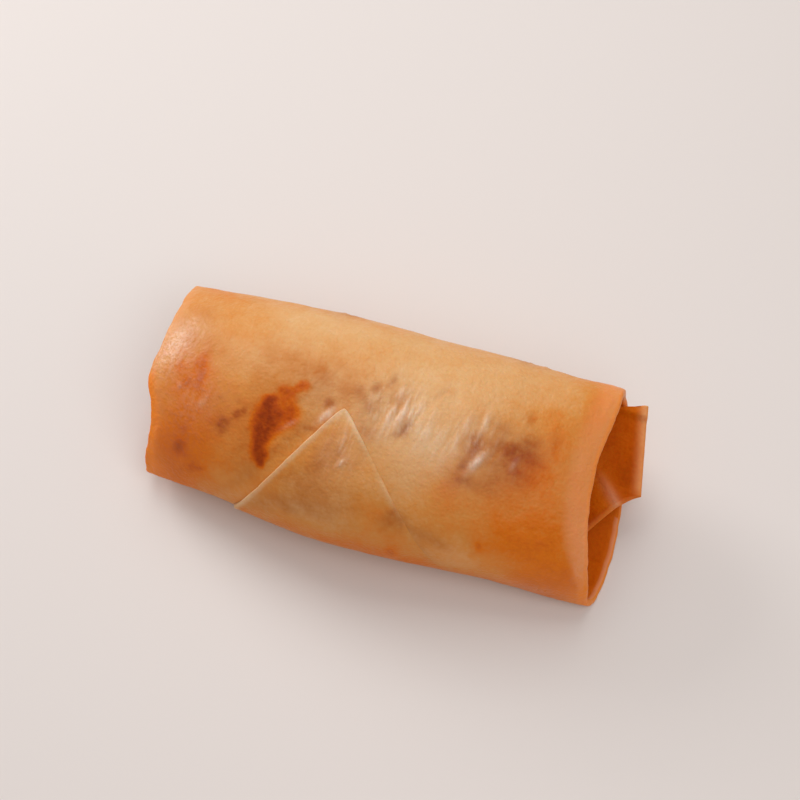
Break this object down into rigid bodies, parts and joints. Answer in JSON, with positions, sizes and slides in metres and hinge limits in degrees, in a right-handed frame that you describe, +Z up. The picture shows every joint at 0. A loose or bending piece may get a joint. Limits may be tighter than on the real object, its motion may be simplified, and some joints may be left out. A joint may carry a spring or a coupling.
{
  "type": "fried spring roll",
  "caption": "Golden fried spring roll: flattened wrapper roll with a triangular corner flap, open-lipped pinched ends and a folded tongue at one end, lying on its underside.",
  "frame": {"origin": "middle of the box's underside, on the surface that the roll rests on", "axes": "+X along the roll, towards the end with the folded tongue; +Y towards the back, away from the triangular flap; +Z up"},
  "size_m": [0.0982, 0.045, 0.0301],
  "materials": {
    "crust": "fried wheat crust, golden brown with an oily sheen"
  },
  "bodies": {
    "root": {"spring_roll": "crust"}
  },
  "joints": []
}
